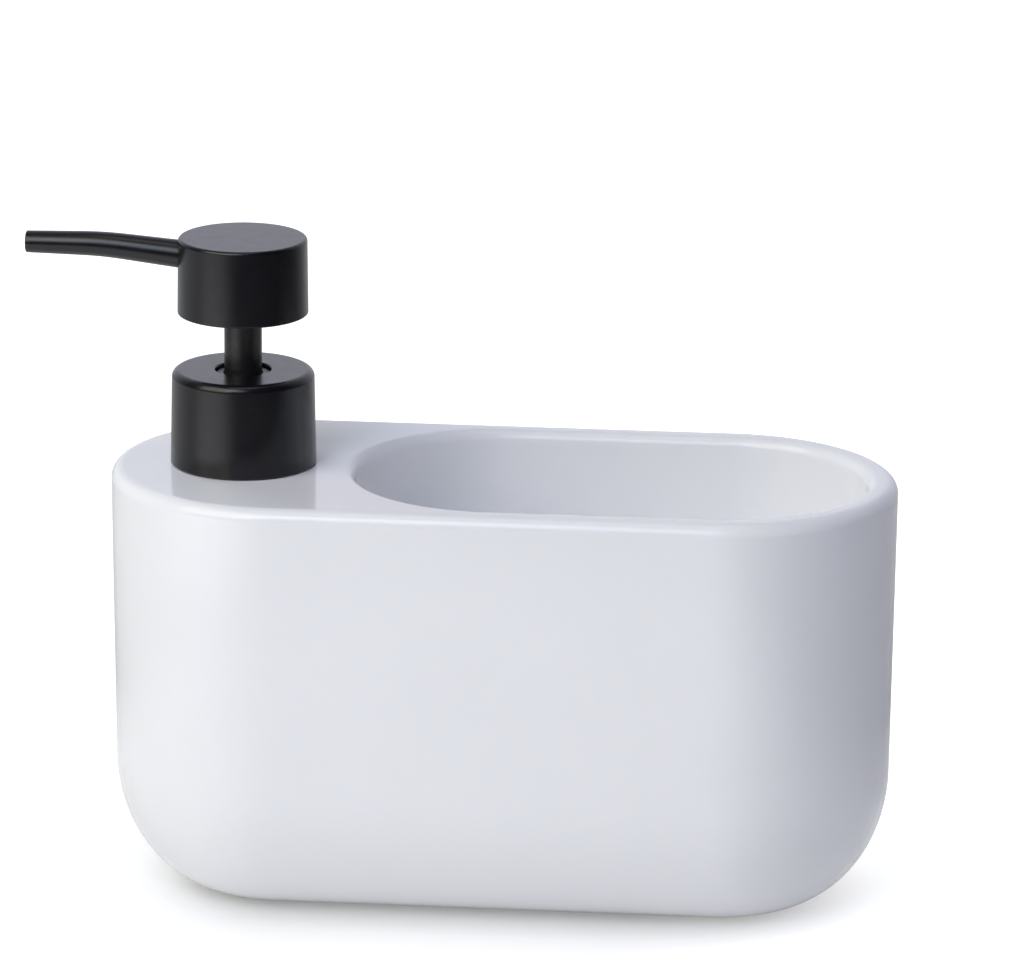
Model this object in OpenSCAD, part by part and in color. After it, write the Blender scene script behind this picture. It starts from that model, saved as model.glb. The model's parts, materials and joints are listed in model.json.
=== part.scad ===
// Soap pump caddy: a glazed ceramic body that holds liquid soap and a sponge,
// with a press pump in its neck. Millimetres.
// The origin is the centre of the body's plan on the table plane.
// +X points to the sponge pocket, +Y to the back and +Z up.

/* [Body] */
// Width of the body at its top
body_w = 180; // [168:1:210]
// Depth of the body at its top
body_d = 79; // [74:1:88]
// Height of the ceramic body
body_h = 100; // [98:1:120]
// Lean of the side walls, in degrees
body_draft = 0.58; // [0:0.02:1.2]
// Radius of the outer top edge
rim_round = 3; // [1.5:0.25:3.5]
// How far the rounded bottom edge reaches inwards
base_round_w = 25; // [20:0.5:27]
// How far the rounded bottom edge reaches up the wall
base_round_h = 31.5; // [22:0.5:34]
// Thickness of the ceramic round the soap chamber
body_wall = 6; // [4.5:0.25:6.5]
// Thickness of the ceramic over the soap chamber
top_wall = 6; // [4.5:0.25:8]
// Width of the bare ring that the body stands on
foot_ring_w = 4.5; // [3:0.25:6]
// Depth of the recess inside that ring
foot_recess = 1; // [0.5:0.1:1.5]

/* [Sponge pocket] */
// Thickness of the rim beside the pocket
pocket_rim = 7; // [6.5:0.25:9]
// Radius of the pocket's inner top edge
pocket_lip = 2.5; // [1:0.25:3]
// Depth of the pocket
pocket_depth = 45; // [30:1:48]
// Lean of the pocket's walls, in degrees
pocket_draft = 1; // [0:0.25:2]
// Radius between the pocket's wall and floor
pocket_round = 8; // [5:0.5:12]
// From the pump's axis to the pocket's end
pump_to_pocket = 25.9; // [25:0.1:32]

/* [Neck] */
// From the body's end to the pump's axis
pump_inset = 30.2; // [29:0.1:34]
// Diameter of the hole in the body's top
neck_hole_d = 26.4; // [26:0.1:28]
// Thickness of the seal sleeve in that hole
neck_seal_t = 1; // [0.8:0.1:1.4]
// Height of the seal sleeve
neck_seal_h = 5.4; // [3:0.2:5.8]
// Bore of the neck insert
neck_bore_d = 21.4; // [20.4:0.1:22]
// Length of the insert's spigot inside the body
neck_spigot = 9; // [8:0.5:12]
// Diameter of the insert's flange
neck_flange_d = 29.6; // [28.6:0.1:30.2]
// Thickness of the insert's flange
neck_flange_t = 1.4; // [1:0.1:2]
// Outer diameter of the insert's thread
neck_thread_d = 27.4; // [26.8:0.1:27.6]
// Height of the threaded part above the flange
neck_h = 9.6; // [8:0.1:10]

/* [Collar] */
// Diameter of the collar at its base
collar_d = 33.3; // [33:0.1:36]
// Diameter of the collar at its top
collar_top_d = 32.5; // [32.4:0.1:34]
// Height of the collar
collar_h = 21.7; // [21:0.1:26]
// Gap between the collar and the glaze
collar_gap = 0.3; // [0.2:0.1:1]
// Thickness of the collar's shell
collar_shell = 0.9; // [0.6:0.1:1]
// Thickness of the collar's top
collar_top_t = 1.2; // [1:0.1:1.6]
// Radius of the collar's top edge
collar_edge = 1.8; // [1:0.1:2.2]
// Diameter of the hole that the guide stands in
collar_hole_d = 12.8; // [12.6:0.1:14]
// Thickness of the web that clamps the pump down
nut_web_t = 1.6; // [1.2:0.1:2.2]
// Count of ribs inside the nut
nut_ribs = 8; // [4:1:12]

/* [Pump housing] */
// Bore that the piston runs in
bore_d = 14.6; // [14:0.1:15]
// Wall of the housing round that bore
bore_wall = 1.2; // [0.8:0.1:1.4]
// Diameter of the housing's flange
flange_d = 26.6; // [25:0.1:26.8]
// Thickness of the housing's flange
flange_t = 1.4; // [1:0.1:2]
// Thickness of the gasket under the flange
gasket_t = 1; // [0.6:0.1:1.6]
// Length of the socket that grips the dip tube
socket_l = 11; // [8:0.5:16]
// Diameter of the vent hole that lets air into the chamber
vent_d = 1.4; // [0.8:0.1:1.8]
// Outer diameter of the dip tube
tube_d = 7; // [6:0.1:7.4]
// Wall of the dip tube
tube_wall = 1; // [0.6:0.1:1.2]
// From the chamber's floor up to the tube's lowest point
tube_floor_gap = 3; // [2:0.5:6]
// Slant of the tube's lower end, in degrees
tube_cut = 40; // [20:5:50]
// Diameter of the inlet ball
inlet_ball_d = 5; // [4.6:0.1:5.2]
// How far each ball can rise
ball_lift = 1.2; // [0.8:0.1:1.4]

/* [Stem guide] */
// Outer diameter of the guide's neck
guide_neck_d = 12.1; // [11.6:0.1:12.3]
// Thickness of the guide's flange
guide_flange_t = 1.2; // [1:0.1:1.6]
// How far the guide reaches into the housing
guide_spigot = 10; // [8:0.5:11]
// Wall of the guide's spigot
guide_wall = 2; // [1.4:0.1:2.4]
// How far the guide's rim lies below the collar's top
guide_drop = 0.8; // [0.4:0.1:1.6]

/* [Piston and stem] */
// Press stroke of the pump
stroke = 12; // [8:0.5:13]
// Outer diameter of the stem
stem_d = 8.6; // [8.2:0.1:9]
// Bore of the stem where it holds the rod and the ball
stem_bore_d = 4.6; // [4.5:0.1:5]
// Height of the piston seal
piston_h = 7.5; // [6:0.5:8]
// Diameter of the rod inside the piston seal
rod_d = 5.6; // [5.2:0.1:6]
// Diameter of the rod's flange, which the spring pushes
rod_flange_d = 11.8; // [11.6:0.1:12.4]
// Thickness of the rod's flange
rod_flange_t = 1.4; // [1:0.1:2]
// Bore of the rod
rod_bore_d = 2.6; // [2.2:0.1:2.8]
// Length of the rod inside the stem
rod_grip = 12; // [8:0.5:14]
// Diameter of the outlet ball
outlet_ball_d = 3.8; // [3.4:0.1:4]

/* [Return spring] */
// Mean diameter of the spring
spring_d = 10.6; // [10:0.1:11]
// Diameter of the spring's wire
wire_d = 1; // [0.8:0.1:1.1]
// Turns of the spring
spring_turns = 8; // [6:1:9]
// Length of the spring when the head is pressed down
spring_pressed_l = 11.3; // [10.6:0.1:14]

/* [Head] */
// Diameter of the head at its top
head_top_d = 29.4; // [28.6:0.1:32]
// Diameter of the head at its lower edge
head_d = 29.8; // [29:0.1:33]
// Height of the head
head_h = 17.6; // [16:0.1:22]
// Gap left between the pressed head and the collar
press_gap = 1.2; // [1:0.1:4]
// Radius of the head's top edge
head_edge = 0.8; // [0.5:0.1:1]
// Thickness of the head's shell
head_shell = 0.9; // [0.6:0.1:1.2]
// Thickness of the head's top
head_top_t = 1.2; // [1:0.1:2]
// Count of ribs inside the head
core_ribs = 6; // [4:1:10]

/* [Nozzle] */
// Reach of the nozzle's tip from the pump's axis
nozzle_reach = 49.6; // [45:0.1:60]
// From the head's top down to the nozzle's axis at the head's wall
nozzle_drop = 4.3; // [4.1:0.1:6]
// Diameter of the nozzle at the head
nozzle_root_d = 6.4; // [5.8:0.1:6.4]
// Diameter of the nozzle at its tip
nozzle_tip_d = 5; // [4.8:0.1:5.6]
// Rise of the nozzle where it leaves the head, in degrees
nozzle_rise = 6; // [3:0.1:8]
// Length of the straight part next to the head
nozzle_straight = 12.5; // [8:0.5:14]
// Radius of the nozzle's bend
nozzle_bend_r = 92; // [60:1:110]
// Bore of the nozzle
nozzle_bore_d = 3.9; // [3.6:0.1:4]
// Wall of the liner tube inside the nozzle
liner_wall = 0.6; // [0.4:0.1:0.8]

/* [Hidden] */
$fn = 96;
// Points on each small rounded stretch of an outline, and on the large base round
arc_steps = 8;
base_steps = 20;
// How far a cut runs past the face that it opens
overrun = 1;
// Radial clearance between pieces that are pressed together
snug = 0.05;
// Clearance between pieces that turn or slide on each other
run_gap = 0.08;
// Small bevel on moulded edges
bevel = 0.4;

// Body
end_x = (body_w - body_d)/2;
pump_x = pump_inset - body_w/2;
pocket_x0 = pump_x + pump_to_pocket;
pocket_x1 = body_w/2 - pocket_rim;
pocket_r = body_d/2 - pocket_rim;
pocket_z = body_h - pocket_depth;
chamber_top = body_h - top_wall;
// Radius between the chamber's wall and ceiling
chamber_round = 5;
// How far the pump's end of the chamber runs beside the pocket
chamber_corner = 4;

// Heights of the neck and the clamped stack
neck_z0 = body_h + neck_flange_t;
neck_top = neck_z0 + neck_h;
gasket_top = neck_top + gasket_t;
flange_top = gasket_top + flange_t;
guide_flange_top = flange_top + guide_flange_t;
collar_z0 = body_h + collar_gap;
collar_z1 = collar_z0 + collar_h;
guide_top = collar_z1 - guide_drop;
guide_bottom = flange_top - guide_spigot;
seal_outer_r = neck_hole_d/2 - snug;
spigot_r = seal_outer_r - neck_seal_t - snug;
// Depth of the grooves between the seal's ribs
seal_groove = 0.3;
seal_ribs = 3;

// Nut
nut_z0 = neck_z0 + 2*snug;
nut_clamp_z = guide_flange_top + snug;
nut_web_top = nut_clamp_z + nut_web_t;
nut_top = collar_z1 - collar_top_t - snug;
nut_bore_r = neck_thread_d/2 + run_gap;
nut_hub_r0 = guide_neck_d/2 + bevel;
nut_hub_t = 1.2;
nut_rib_t = 1;
nut_rim_t = 2.6;
nut_rim_r0 = collar_top_d/2 - collar_shell - nut_rim_t;

// Piston, from the guide down
piston_top_gap = 0.3;
piston_top = guide_bottom - piston_top_gap;
piston_z0 = piston_top - piston_h;
rod_flange_top = piston_z0 - run_gap;
rod_flange_z0 = rod_flange_top - rod_flange_t;

// Housing
bore_r = bore_d/2;
barrel_r = bore_r + bore_wall;
// How much wider than the bore the mouth is, where the guide plugs in
mouth_step = 1.1;
guide_spigot_r = bore_r + mouth_step;
mouth_r = guide_spigot_r + snug;
mouth_outer_r = mouth_r + bore_wall;
cage_flange_t = 0.8;
cage_top = rod_flange_z0 - stroke - spring_pressed_l;
ledge_z = cage_top - cage_flange_t;
// Wall of the housing round the valve and the dip tube
valve_wall = 1.2;
cage_r = 5;
inlet_r = 1.4;
inlet_ball_r = inlet_ball_d/2;
// Depth of the valve pocket above its 45 degree cone
valve_pocket_l = 4.8;
seat_z = ledge_z - valve_pocket_l - (cage_r - inlet_r);
// The ball rests on that cone, a running gap clear of it
inlet_ball_z = seat_z - inlet_r + (inlet_ball_r + run_gap)*sqrt(2);
socket_top = seat_z - valve_wall;
socket_z0 = socket_top - socket_l;
tube_r = tube_d/2;
socket_r = tube_r + snug;
vent_sides = 16;
tube_z0 = body_wall + tube_floor_gap;

// Valve cage
cage_flange_r = bore_r - bevel;
cage_wall = 1.3;
cage_bar_z0 = inlet_ball_z + inlet_ball_r + ball_lift + run_gap;
cage_bar_w = 1.4;
cage_z0 = seat_z + cage_r - inlet_r + snug;

// Piston and stem
piston_lip_t = 0.8;
piston_sleeve_t = 1.1;
piston_web_t = 1.6;
stem_r = stem_d/2;
stem_z0 = piston_top + run_gap;
rod_boss_l = 3;
rod_boss_r = (spring_d - wire_d)/2 - bevel;
rod_grip_r = stem_bore_d/2 - snug;
rod_top = stem_z0 + rod_grip;
rod_port_d = 1.8;
rod_port_z = rod_flange_top + rod_port_d;
outlet_ball_r = outlet_ball_d/2;
outlet_ball_z = rod_top + sqrt(pow(outlet_ball_r, 2) - pow(rod_bore_d/2, 2)) + run_gap;
stem_stop_z = outlet_ball_z + outlet_ball_r + ball_lift + run_gap;
stem_outlet_r = rod_bore_d/2 + snug;

// Head
head_z0 = collar_z1 + stroke + press_gap;
head_z1 = head_z0 + head_h;
head_inner_top = head_z1 - head_top_t;
nozzle_z = head_z1 - nozzle_drop;
core_z0 = head_z0 + bevel;
core_top = head_inner_top - snug;
core_plate_t = 2;
core_hub_t = 2.2;
core_hub_r = stem_r + core_hub_t;
core_rim_t = 1.2;
core_rib_t = 1.2;
core_boss_d = nozzle_root_d + 2*core_rim_t;
// Radius at which the nozzle's inner end stops, from the pump's axis
nozzle_inner_r = core_hub_r + core_rim_t;
nozzle_wall_r = head_top_d/2;
channel_z = nozzle_z - nozzle_wall_r*tan(nozzle_rise);
// The stem stops below the channel, by this share of the nozzle's bore
stem_stop_share = 0.6;
stem_top = channel_z - stem_stop_share*nozzle_bore_d;

// Nozzle: start and end of its bend, measured from the pump's axis
bend_x0 = nozzle_wall_r + nozzle_straight*cos(nozzle_rise);
bend_z0 = nozzle_z + nozzle_straight*sin(nozzle_rise);
bend_x1 = bend_x0 + nozzle_bend_r*sin(nozzle_rise);
bend_z1 = bend_z0 + nozzle_bend_r*(1 - cos(nozzle_rise));
bend_l = PI*nozzle_bend_r*nozzle_rise/180;
nozzle_l = nozzle_straight + bend_l + nozzle_reach - bend_x1;
nozzle_sides = 32;
nozzle_inside = (nozzle_wall_r - nozzle_inner_r)/cos(nozzle_rise);

// Spring
spring_z0 = cage_top;
spring_l = rod_flange_z0 - cage_top;
// Share of a turn that lies flat at each end of the spring
spring_flat_share = 1/3;
rings_per_turn = 8;
wire_sides = 6;

// Points on an arc about c, with a radius across and a radius up
function arc(c, rx, rz, from, to, steps = arc_steps) =
    [for (i = [0:steps]) let (a = from + (to - from)*i/steps) c + [rx*cos(a), rz*sin(a)]];

// A half outline and its mirror image as one closed outline
function both_sides(half) =
    concat(half, [for (i = [len(half) - 2:-1:1]) [-half[i][0], half[i][1]]]);

// Half depth of the body at height z
function body_r(z) = body_d/2 - (body_h - z)*tan(body_draft);

foot_r = body_r(base_round_h) - base_round_w;

body_outline = concat(
    [[0, 0]],
    arc([foot_r, base_round_h], base_round_w, base_round_h, -90, 0, base_steps),
    arc([body_r(body_h - rim_round) - rim_round, body_h - rim_round], rim_round, rim_round, 0, 90),
    [[0, body_h]]);

chamber_outline = concat(
    [[0, body_wall]],
    arc([foot_r, base_round_h], base_round_w - body_wall, base_round_h - body_wall,
        -90, 0, base_steps),
    arc([body_r(chamber_top) - body_wall - chamber_round, chamber_top - chamber_round],
        chamber_round, chamber_round, 0, 90),
    [[0, chamber_top]]);

foot_outline = [[0, -overrun], [foot_r - foot_ring_w, -overrun],
                [foot_r - foot_ring_w, foot_recess], [0, foot_recess]];

// Floor and lower corner of the pocket, grown outwards by a wall
function pocket_base(grow) = concat(
    [[0, pocket_z - grow]],
    arc([pocket_r - (pocket_depth - pocket_round)*tan(pocket_draft) - pocket_round,
         pocket_z + pocket_round], pocket_round + grow, pocket_round + grow, -90, 0));

pocket_outline = concat(
    pocket_base(0),
    arc([pocket_r + pocket_lip, body_h - pocket_lip], pocket_lip, pocket_lip, 180, 90),
    [[pocket_r + pocket_lip, body_h + overrun], [0, body_h + overrun]]);

divider_outline = concat(
    pocket_base(body_wall),
    [[pocket_r + body_wall, body_h + overrun], [0, body_h + overrun]]);

// A long solid with half-round ends, from the half outline of its section
module stadium(half, x0, x1) {
    translate([x0, 0, 0]) rotate([90, 0, 90]) linear_extrude(x1 - x0) polygon(both_sides(half));
    translate([x1, 0, 0]) rotate([0, 0, -90]) rotate_extrude(angle = 180) polygon(half);
    translate([x0, 0, 0]) rotate([0, 0, 90]) rotate_extrude(angle = 180) polygon(half);
}

// A piece turned about the pump's axis
module turned(outline) {
    translate([pump_x, 0, 0]) rotate_extrude() polygon(outline);
}

// A plain ring about the pump's axis
module ring(r0, r1, z0, z1) {
    turned([[r0, z0], [r1, z0], [r1, z1], [r0, z1]]);
}

// A round bar about the pump's axis
module bar(r, z0, z1) {
    translate([pump_x, 0, z0]) cylinder(h = z1 - z0, r = r);
}

// Hollow of the body that holds the soap, round and under the pocket
module soap_chamber() {
    difference() {
        stadium(chamber_outline, -end_x, end_x);
        stadium(divider_outline, pocket_x0 + pocket_r, pocket_x1 - pocket_r);
        translate([pocket_x0 + chamber_corner, -body_d/2, pocket_z])
            cube([body_w, body_d, body_h]);
    }
}

module caddy_body() {
    color("white")
    difference() {
        stadium(body_outline, -end_x, end_x);
        stadium(pocket_outline, pocket_x0 + pocket_r, pocket_x1 - pocket_r);
        stadium(foot_outline, -end_x, end_x);
        soap_chamber();
        bar(neck_hole_d/2, chamber_top - overrun, body_h + overrun);
    }
}

module neck_insert() {
    color("ivory")
    turned([[neck_bore_d/2, body_h - neck_spigot], [spigot_r - bevel, body_h - neck_spigot],
            [spigot_r, body_h - neck_spigot + bevel], [spigot_r, body_h],
            [neck_flange_d/2, body_h], [neck_flange_d/2, neck_z0 - bevel],
            [neck_flange_d/2 - bevel, neck_z0], [neck_thread_d/2, neck_z0],
            [neck_thread_d/2, neck_top - bevel], [neck_thread_d/2 - bevel, neck_top],
            [neck_bore_d/2, neck_top]]);
}

// Silicone sleeve with ribs that press on the hole in the body
module neck_seal() {
    pitch = neck_seal_h/(2*seal_ribs - 1);
    color("gainsboro")
    difference() {
        ring(spigot_r + snug, seal_outer_r, body_h - neck_seal_h, body_h);
        for (i = [0:seal_ribs - 2])
            ring(seal_outer_r - seal_groove, seal_outer_r + overrun,
                 body_h - (2*i + 2)*pitch, body_h - (2*i + 1)*pitch);
    }
}

// Visible shell of the collar
module collar_cover() {
    r0 = collar_d/2;
    r1 = collar_top_d/2;
    inner_top = collar_z1 - collar_top_t;
    color("#232427")
    turned(concat(
        [[r0 - collar_shell, collar_z0], [r0 - bevel/2, collar_z0], [r0, collar_z0 + bevel/2]],
        arc([r1 - collar_edge, collar_z1 - collar_edge], collar_edge, collar_edge, 0, 90),
        arc([collar_hole_d/2 + bevel, collar_z1 - bevel], bevel, bevel, 90, 180),
        [[collar_hole_d/2, inner_top]],
        arc([r1 - collar_edge, inner_top - collar_edge + collar_shell],
            collar_edge - collar_shell, collar_edge - collar_shell, 90, 0)));
}

// Threaded closure that the shell is pressed on
module collar_nut() {
    r0 = collar_d/2 - collar_shell - snug;
    r1 = collar_top_d/2 - collar_shell - snug;
    edge = collar_edge;
    color("dimgray") {
        turned([[nut_bore_r, nut_z0], [r0 - bevel, nut_z0], [r0 - bevel/4, nut_z0 + bevel],
                [r1, nut_top - edge], [r1 - edge, nut_top], [nut_rim_r0, nut_top],
                [nut_rim_r0, nut_web_top], [nut_hub_r0 + nut_hub_t, nut_web_top],
                [nut_hub_r0 + nut_hub_t, nut_top], [nut_hub_r0, nut_top],
                [nut_hub_r0, nut_clamp_z], [nut_bore_r, nut_clamp_z]]);
        for (i = [0:nut_ribs - 1])
            translate([pump_x, 0, nut_web_top]) rotate([0, 0, 360*i/nut_ribs])
                translate([nut_hub_r0 + nut_hub_t/2, -nut_rib_t/2, -nut_web_t/2])
                    cube([nut_rim_r0 - nut_hub_r0, nut_rib_t, nut_top - nut_web_top + nut_web_t/2]);
    }
}

module housing_gasket() {
    color("lightgray") ring(neck_bore_d/2, flange_d/2, neck_top, gasket_top);
}

// Barrel of the pump, with the valve pocket and the tube socket below it. At rest the
// piston's two lips close off its vent hole.
module pump_housing() {
    step_z = guide_bottom - bore_wall;
    valve_r = cage_r + valve_wall;
    socket_outer_r = socket_r + valve_wall;
    color("whitesmoke")
    difference() {
        turned([[mouth_r, flange_top], [mouth_r, guide_bottom - snug],
                [bore_r, guide_bottom - snug], [bore_r, ledge_z], [cage_r, ledge_z],
                [cage_r, seat_z + cage_r - inlet_r], [inlet_r, seat_z], [inlet_r, socket_top],
                [socket_r, socket_top], [socket_r, socket_z0],
                [socket_outer_r - bevel, socket_z0], [socket_outer_r, socket_z0 + bevel],
                [socket_outer_r, seat_z], [valve_r, seat_z + cage_r - inlet_r - bevel],
                [valve_r, ledge_z - valve_wall - (barrel_r - valve_r)],
                [barrel_r, ledge_z - valve_wall], [barrel_r, step_z - bevel],
                [mouth_outer_r, step_z + bevel], [mouth_outer_r, gasket_top],
                [flange_d/2, gasket_top], [flange_d/2, flange_top]]);
        translate([pump_x, 0, piston_z0 + piston_h/2]) rotate([90, 0, 180])
            cylinder(h = barrel_r + overrun, d = vent_d, $fn = vent_sides);
    }
}

// Ring that closes the housing and guides the stem
module stem_guide() {
    relief_r = guide_spigot_r - guide_wall;
    color("#232427")
    turned([[stem_r + run_gap, guide_top - bevel], [stem_r + run_gap + bevel/2, guide_top],
            [guide_neck_d/2 - bevel/2, guide_top], [guide_neck_d/2, guide_top - bevel/2],
            [guide_neck_d/2, guide_flange_top], [flange_d/2, guide_flange_top],
            [flange_d/2, flange_top], [guide_spigot_r, flange_top],
            [guide_spigot_r, guide_bottom + bevel], [guide_spigot_r - bevel, guide_bottom],
            [relief_r, guide_bottom], [relief_r, flange_top - bevel],
            [stem_r + run_gap, guide_flange_top]]);
}

module dip_tube() {
    color("whitesmoke")
    difference() {
        bar(tube_r, tube_z0, socket_top - snug);
        bar(tube_r - tube_wall, tube_z0 - overrun, socket_top + overrun);
        translate([pump_x + tube_r, 0, tube_z0]) rotate([0, tube_cut, 0])
            translate([-3*tube_d, -tube_d, -2*tube_d]) cube([4*tube_d, 2*tube_d, 2*tube_d]);
    }
}

// Insert over the inlet ball, which also carries the spring
module ball_cage() {
    color("ivory") {
        ring(cage_r - snug - cage_wall, cage_r - snug, cage_z0, ledge_z + cage_flange_t/2);
        ring(cage_r - snug - cage_wall, cage_flange_r, ledge_z, cage_top);
        for (a = [0, 90])
            translate([pump_x, 0, cage_bar_z0]) rotate([0, 0, a])
                translate([-cage_r + cage_wall/2, -cage_bar_w/2, 0])
                    cube([2*cage_r - cage_wall, cage_bar_w, cage_top - cage_bar_z0]);
    }
}

module inlet_ball() {
    color("lightblue") translate([pump_x, 0, inlet_ball_z]) sphere(inlet_ball_r);
}

// Turn-by-turn climb of the spring, flat at both ends
function climb(turn) =
    max(0, min(1, (turn - spring_flat_share)/(spring_turns - 2*spring_flat_share)));

// Centre of the wire after so many turns
function wire_at(turn) = [spring_d/2*cos(360*turn), spring_d/2*sin(360*turn),
                          wire_d/2 + (spring_l - wire_d)*climb(turn)];

wire_path = [for (i = [0:spring_turns*rings_per_turn]) wire_at(i/rings_per_turn)];

// Least gap between one stretch of wire and the turns beside it
spring_gap = min([for (i = [0:len(wire_path) - 1 - rings_per_turn/2])
                  for (j = [i + rings_per_turn/2:len(wire_path) - 1])
                  norm(wire_path[j] - wire_path[i])]) - wire_d;
echo(spring_least_gap = spring_gap);

module return_spring() {
    last = len(wire_path) - 1;
    rim = wire_d/2;
    points = [for (i = [0:last])
        let (turn = i/rings_per_turn,
             out = [cos(360*turn), sin(360*turn), 0],
             ahead = wire_at(turn + 1/rings_per_turn) - wire_at(turn - 1/rings_per_turn),
             side = cross(ahead/norm(ahead), out))
        for (k = [0:wire_sides - 1])
            wire_path[i] + rim*(cos(360*k/wire_sides)*out + sin(360*k/wire_sides)*side)];
    walls = [for (i = [0:last - 1]) for (k = [0:wire_sides - 1])
        let (a = i*wire_sides + k, b = i*wire_sides + (k + 1)%wire_sides)
        for (f = [[a, a + wire_sides, b], [b, a + wire_sides, b + wire_sides]]) f];
    ends = [for (k = [1:wire_sides - 2])
        for (f = [[0, k, k + 1],
                  [last*wire_sides, last*wire_sides + k + 1, last*wire_sides + k]]) f];
    color("silver") translate([pump_x, 0, spring_z0]) polyhedron(points, concat(walls, ends));
}

// Cup seal with a lip at each end of its skirt
module piston_seal() {
    lip_r = bore_r - run_gap;
    waist_r = lip_r - bevel;
    skirt_r = lip_r - piston_lip_t - bevel;
    sleeve_r0 = rod_d/2 + run_gap;
    sleeve_r1 = sleeve_r0 + piston_sleeve_t;
    web_z0 = piston_z0 + (piston_h - piston_web_t)/2;
    web_z1 = web_z0 + piston_web_t;
    color("white")
    turned([[sleeve_r0, piston_z0], [sleeve_r1, piston_z0], [sleeve_r1, web_z0],
            [skirt_r, web_z0], [lip_r - bevel, piston_z0], [lip_r, piston_z0],
            [lip_r, piston_z0 + bevel], [waist_r, piston_z0 + 3*bevel],
            [waist_r, piston_top - 3*bevel], [lip_r, piston_top - bevel],
            [lip_r, piston_top], [lip_r - bevel, piston_top], [skirt_r, web_z1],
            [sleeve_r1, web_z1], [sleeve_r1, piston_top], [sleeve_r0, piston_top]]);
}

// Hollow rod that carries the seal, with ports under its sleeve
module piston_rod() {
    color("ivory")
    difference() {
        turned([[0, rod_flange_z0 - rod_boss_l], [rod_boss_r - bevel, rod_flange_z0 - rod_boss_l],
                [rod_boss_r, rod_flange_z0 - rod_boss_l + bevel], [rod_boss_r, rod_flange_z0],
                [rod_flange_d/2, rod_flange_z0], [rod_flange_d/2, rod_flange_top],
                [rod_d/2, rod_flange_top], [rod_d/2, stem_z0], [rod_grip_r, stem_z0],
                [rod_grip_r, rod_top], [0, rod_top]]);
        bar(rod_bore_d/2, rod_flange_top, rod_top + overrun);
        for (a = [0, 90])
            translate([pump_x, 0, rod_port_z]) rotate([90, 0, a])
                cylinder(h = 2*rod_d, d = rod_port_d, center = true);
    }
}

module stem() {
    color("#232427")
    difference() {
        turned([[0, stem_z0], [stem_r - bevel, stem_z0], [stem_r, stem_z0 + bevel],
                [stem_r, stem_top - bevel], [stem_r - bevel, stem_top], [0, stem_top]]);
        bar(stem_bore_d/2, stem_z0 - overrun, stem_stop_z);
        bar(stem_outlet_r, stem_z0 - overrun, stem_top + overrun);
    }
}

module outlet_ball() {
    color("lightblue") translate([pump_x, 0, outlet_ball_z]) sphere(outlet_ball_r);
}

// Places children at the head's wall, with Z along the nozzle's root
module at_nozzle_root() {
    translate([pump_x, 0, 0]) rotate([0, 0, 180]) translate([nozzle_wall_r, 0, nozzle_z])
        rotate([0, 90 - nozzle_rise, 0]) children();
}

// Moulded body inside the head, with the stem socket and the soap channel
module actuator_core() {
    top_r = head_top_d/2 - head_shell - snug;
    low_r = head_d/2 - head_shell - snug;
    color("#2b2c2f")
    difference() {
        intersection() {
            turned([[0, core_z0], [low_r, core_z0], [top_r, core_top - head_edge],
                    [top_r - head_edge, core_top], [0, core_top]]);
            union() {
                bar(core_hub_r, core_z0, core_top);
                bar(head_d, core_top - core_plate_t, core_top);
                difference() {
                    bar(head_d, core_z0, core_top);
                    bar(top_r - core_rim_t, core_z0 - overrun, core_top + overrun);
                }
                for (i = [0:core_ribs - 1])
                    translate([pump_x, 0, core_z0 + core_rib_t]) rotate([0, 0, 360*i/core_ribs])
                        translate([0, -core_rib_t/2, 0])
                            cube([low_r, core_rib_t, core_top - core_z0 - core_rib_t]);
                at_nozzle_root() translate([0, 0, -nozzle_wall_r])
                    cylinder(h = nozzle_wall_r, d = core_boss_d);
            }
        }
        bar(stem_r + snug, core_z0 - overrun, stem_top + snug);
        bar(stem_outlet_r, stem_top, channel_z);
        at_nozzle_root() translate([0, 0, -nozzle_inside - snug])
            cylinder(h = nozzle_inside + overrun, d = nozzle_root_d + 2*snug);
        // The channel starts a little past the axis, so that it opens fully into the bore below
        at_nozzle_root() translate([0, 0, -nozzle_wall_r/cos(nozzle_rise) - bevel])
            cylinder(h = nozzle_wall_r, r = stem_outlet_r);
    }
}

// Visible shell of the head, open below
module head_cover() {
    r0 = head_d/2;
    r1 = head_top_d/2;
    color("#232427")
    difference() {
        turned(concat(
            [[0, head_inner_top], [r1 - head_shell - bevel, head_inner_top],
             [r1 - head_shell, head_inner_top - bevel], [r0 - head_shell, head_z0],
             [r0 - bevel, head_z0], [r0, head_z0 + bevel]],
            arc([r1 - head_edge, head_z1 - head_edge], head_edge, head_edge, 0, 90),
            [[0, head_z1]]));
        at_nozzle_root() translate([0, 0, -nozzle_wall_r/2])
            cylinder(h = nozzle_wall_r, d = nozzle_root_d + 2*run_gap);
    }
}

// Point and direction of the nozzle's line, s beyond the head's wall
function nozzle_turn(s) = nozzle_rise*(1 - max(0, min(1, (s - nozzle_straight)/bend_l)));
function nozzle_at(s) =
    s < nozzle_straight ? [nozzle_wall_r + s*cos(nozzle_rise), nozzle_z + s*sin(nozzle_rise)]
    : [bend_x1, bend_z1 - nozzle_bend_r]
      + nozzle_bend_r*[-sin(nozzle_turn(s)), cos(nozzle_turn(s))]
      + [max(0, s - nozzle_straight - bend_l), 0];

// Stations along the nozzle's line from s0 to s1, with steps only in the bend
function stations(s0, s1) = concat(
    [s0, 0], [for (i = [0:arc_steps]) nozzle_straight + bend_l*i/arc_steps], [s1]);

// Outside radius of the nozzle, which tapers from the head to the tip
function nozzle_r(s) =
    nozzle_root_d/2 + (nozzle_tip_d - nozzle_root_d)/2*max(0, s)/nozzle_l;

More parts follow.
